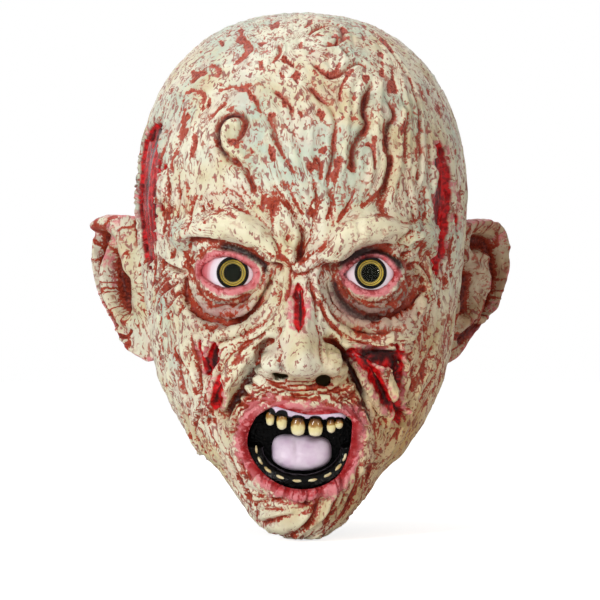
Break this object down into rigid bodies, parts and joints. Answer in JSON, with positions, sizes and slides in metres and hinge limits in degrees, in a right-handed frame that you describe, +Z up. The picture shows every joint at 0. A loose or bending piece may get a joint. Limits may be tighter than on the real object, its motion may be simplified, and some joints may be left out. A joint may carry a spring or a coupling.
{
  "type": "latex halloween mask",
  "caption": "Full-head latex zombie mask with set eyes, glued ears and an open mouth with separate teeth.",
  "frame": {"origin": "middle of the neck opening on the head's upright axis, level with the lowest point of the chin", "axes": "+Z up towards the crown, the face looks along -Y, +X to the wearer's left"},
  "size_m": [0.2464, 0.2489, 0.2979],
  "materials": {
    "latex": "painted, matt",
    "eye_plastic": "gloss",
    "bezel_plastic": "gloss",
    "iris_plastic": "gloss",
    "pupil_plastic": "smoked",
    "clear_plastic": "clear",
    "lining_latex": "matt",
    "gum_rubber": "gloss",
    "tongue_latex": "gloss",
    "tooth_resin": "gloss"
  },
  "bodies": {
    "root": {"latex_skin": "latex", "left_ear": "latex", "left_eyeball": "eye_plastic", "left_iris_bezel": "bezel_plastic", "left_iris_ring": "iris_plastic", "left_pupil_lens": "pupil_plastic", "left_cornea": "clear_plastic", "right_ear": "latex", "right_eyeball": "eye_plastic", "right_iris_bezel": "bezel_plastic", "right_iris_ring": "iris_plastic", "right_pupil_lens": "pupil_plastic", "right_cornea": "clear_plastic", "mouth_lining": "lining_latex", "upper_gum": "gum_rubber", "lower_gum": "gum_rubber", "tongue": "tongue_latex", "upper_tooth_1": "tooth_resin", "upper_tooth_2": "tooth_resin", "upper_tooth_3": "tooth_resin", "upper_tooth_4": "tooth_resin", "upper_tooth_5": "tooth_resin", "upper_tooth_6": "tooth_resin", "lower_tooth_1": "tooth_resin", "lower_tooth_2": "tooth_resin", "lower_tooth_3": "tooth_resin", "lower_tooth_4": "tooth_resin", "lower_tooth_5": "tooth_resin", "lower_tooth_6": "tooth_resin", "lower_tooth_7": "tooth_resin", "lower_tooth_8": "tooth_resin", "lower_tooth_9": "tooth_resin"}
  },
  "joints": []
}
